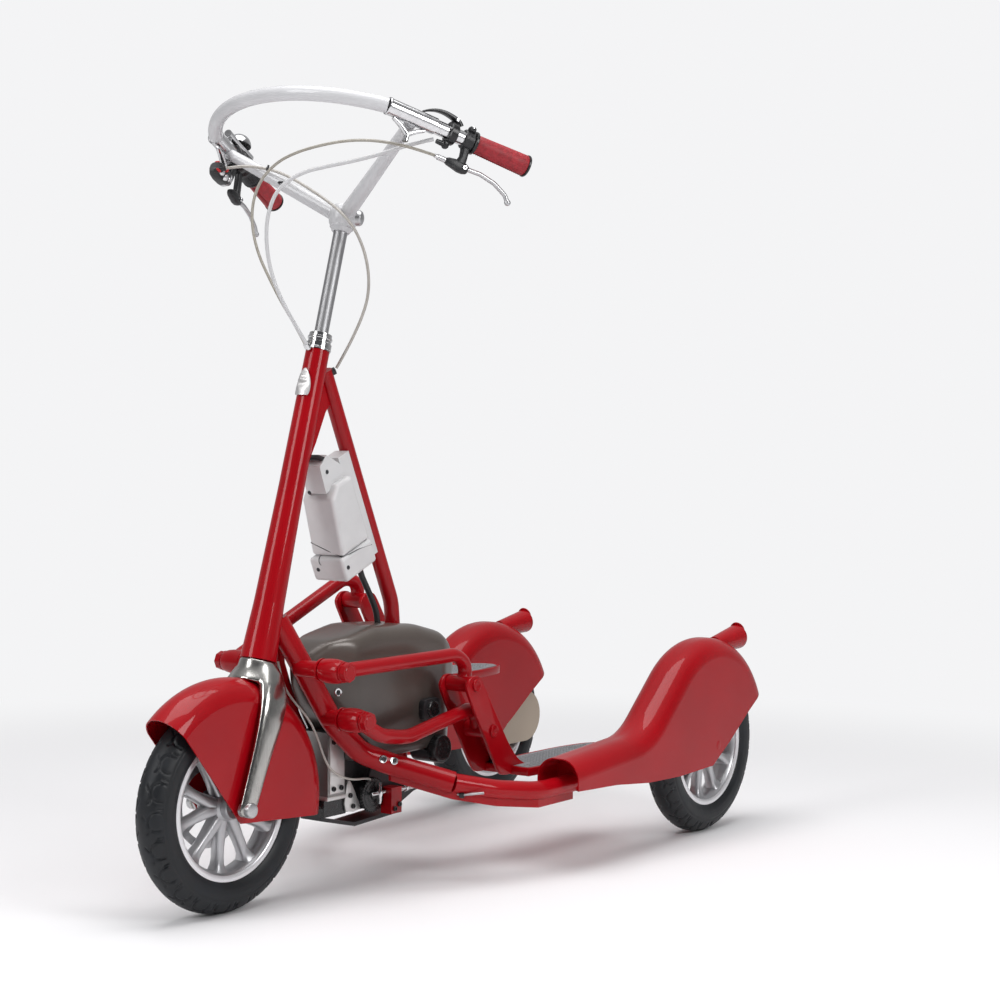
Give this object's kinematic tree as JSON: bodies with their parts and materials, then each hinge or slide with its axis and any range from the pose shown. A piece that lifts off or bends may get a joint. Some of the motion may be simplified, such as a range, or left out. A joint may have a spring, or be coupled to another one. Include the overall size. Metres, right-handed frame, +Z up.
{
  "type": "walking bicycle",
  "caption": "Upright three-wheeled walking bicycle: stepping pedals on parallel arms, tall steering column with looped handlebar, round red fenders.",
  "frame": {"origin": "bottom centre of the bounding box, on the ground between the wheels", "axes": "+X is the way it rolls forward, +Y is to the rider's left, +Z is up"},
  "size_m": [1.3136, 0.5986, 1.2395],
  "materials": {
    "red_gloss": "gloss",
    "polished_alloy": "polished",
    "cast_alloy": "satin",
    "tyre_rubber": "matt",
    "dark_column": "satin",
    "white_paint": "satin",
    "chrome": "polished",
    "grip_red": "satin",
    "black_plastic": "satin",
    "shell_titanium": "matt",
    "white_plastic": "satin",
    "grey_rubber": "matt",
    "motor_grey": "satin",
    "steel": "satin",
    "cable_grey": "satin"
  },
  "bodies": {
    "frame": {"battery": "white_plastic", "battery_bracket": "white_plastic", "battery_cable": "black_plastic", "battery_dock": "white_plastic", "belt_guard": "black_plastic", "cable_grommet": "black_plastic", "cover_guides": "black_plastic", "cross_tube": "red_gloss", "down_tubes": "red_gloss", "drive_case": "shell_titanium", "drive_cover": "shell_titanium", "drive_hanger": "red_gloss", "gear_drum": "black_plastic", "hanger_block": "red_gloss", "head_tube": "red_gloss", "motor_base": "steel", "motor_box": "motor_grey", "pedal_stops": "black_plastic", "pivot_stubs": "red_gloss", "rail_bands": "red_gloss", "rails": "red_gloss", "rear_axles": "steel", "rear_fender_left": "red_gloss", "rear_fender_right": "red_gloss", "rear_stays": "red_gloss", "strut": "red_gloss", "tail_horns": "red_gloss"},
    "steering": {"bar_ends": "steel", "bar_switches": "black_plastic", "bell": "chrome", "brake_cable": "cable_grey", "brake_clamps": "black_plastic", "brake_levers": "chrome", "control_cable": "cable_grey", "control_right": "black_plastic", "fork": "polished_alloy", "front_axle": "steel", "front_fender": "red_gloss", "grips": "grip_red", "headset_collar": "chrome", "loop_bar": "white_paint", "shift_cable": "cable_grey", "sleeves": "chrome", "steering_column": "dark_column", "stem": "white_paint"},
    "front_wheel": {"brake_rotor": "steel", "front_tyre": "tyre_rubber", "front_wheel": "cast_alloy"},
    "rear_wheel_left": {"rear_tyre_left": "tyre_rubber", "rear_wheel_left": "cast_alloy"},
    "rear_wheel_right": {"rear_tyre_right": "tyre_rubber", "rear_wheel_right": "cast_alloy"},
    "upper_arm_left": {"upper_arm_left": "red_gloss"},
    "lower_arm_left": {"lower_arm_left": "red_gloss"},
    "pedal_left": {"pedal_left": "red_gloss", "tread_left": "grey_rubber"},
    "upper_arm_right": {"upper_arm_right": "red_gloss"},
    "lower_arm_right": {"lower_arm_right": "red_gloss"},
    "pedal_right": {"pedal_right": "red_gloss", "tread_right": "grey_rubber"}
  },
  "joints": [
    {"name": "steering_turn", "type": "hinge", "parent": "frame", "child": "steering", "pos_m": [0.35601, -0.00711, 0.6], "axis": [-0.2708, 0, 0.9626], "range_deg": [-40, 40]},
    {"name": "front_wheel_spin", "type": "hinge", "parent": "steering", "child": "front_wheel", "pos_m": [0.49788, -0.00777, 0.159], "axis": [0.037, 0.9993, 0.0104], "continuous": true},
    {"name": "rear_wheel_left_spin", "type": "hinge", "parent": "frame", "child": "rear_wheel_left", "pos_m": [-0.48571, 0.23769, 0.159], "axis": [0, 1, 0], "continuous": true},
    {"name": "rear_wheel_right_spin", "type": "hinge", "parent": "frame", "child": "rear_wheel_right", "pos_m": [-0.48571, -0.25191, 0.159], "axis": [0, 1, 0], "continuous": true},
    {"name": "upper_arm_left_swing", "type": "hinge", "parent": "frame", "child": "upper_arm_left", "pos_m": [0.36333, 0.10289, 0.356], "axis": [0, 1, 0], "range_deg": [-2, 25.2]},
    {"name": "lower_arm_left_swing", "type": "hinge", "parent": "frame", "child": "lower_arm_left", "pos_m": [0.31533, 0.10289, 0.276], "axis": [0, 1, 0], "range_deg": [-2, 25.2]},
    {"name": "pedal_left_level", "type": "hinge", "parent": "upper_arm_left", "child": "pedal_left", "pos_m": [0.05401, 0.10289, 0.30812], "axis": [0, 1, 0], "range_deg": [-25.2, 2]},
    {"name": "upper_arm_right_swing", "type": "hinge", "parent": "frame", "child": "upper_arm_right", "pos_m": [0.36333, -0.11711, 0.356], "axis": [0, 1, 0], "range_deg": [-25.2, 2]},
    {"name": "lower_arm_right_swing", "type": "hinge", "parent": "frame", "child": "lower_arm_right", "pos_m": [0.31533, -0.11711, 0.276], "axis": [0, 1, 0], "range_deg": [-25.2, 2]},
    {"name": "pedal_right_level", "type": "hinge", "parent": "upper_arm_right", "child": "pedal_right", "pos_m": [0.06016, -0.11711, 0.43384], "axis": [0, 1, 0], "range_deg": [-2, 25.2]}
  ],
  "couplings": [
    {"joint": "lower_arm_left_swing", "follows": "upper_arm_left_swing", "ratio": 1},
    {"joint": "pedal_left_level", "follows": "upper_arm_left_swing", "ratio": -1},
    {"joint": "upper_arm_right_swing", "follows": "upper_arm_left_swing", "ratio": -1},
    {"joint": "lower_arm_right_swing", "follows": "upper_arm_left_swing", "ratio": -1},
    {"joint": "pedal_right_level", "follows": "upper_arm_left_swing", "ratio": 1}
  ]
}
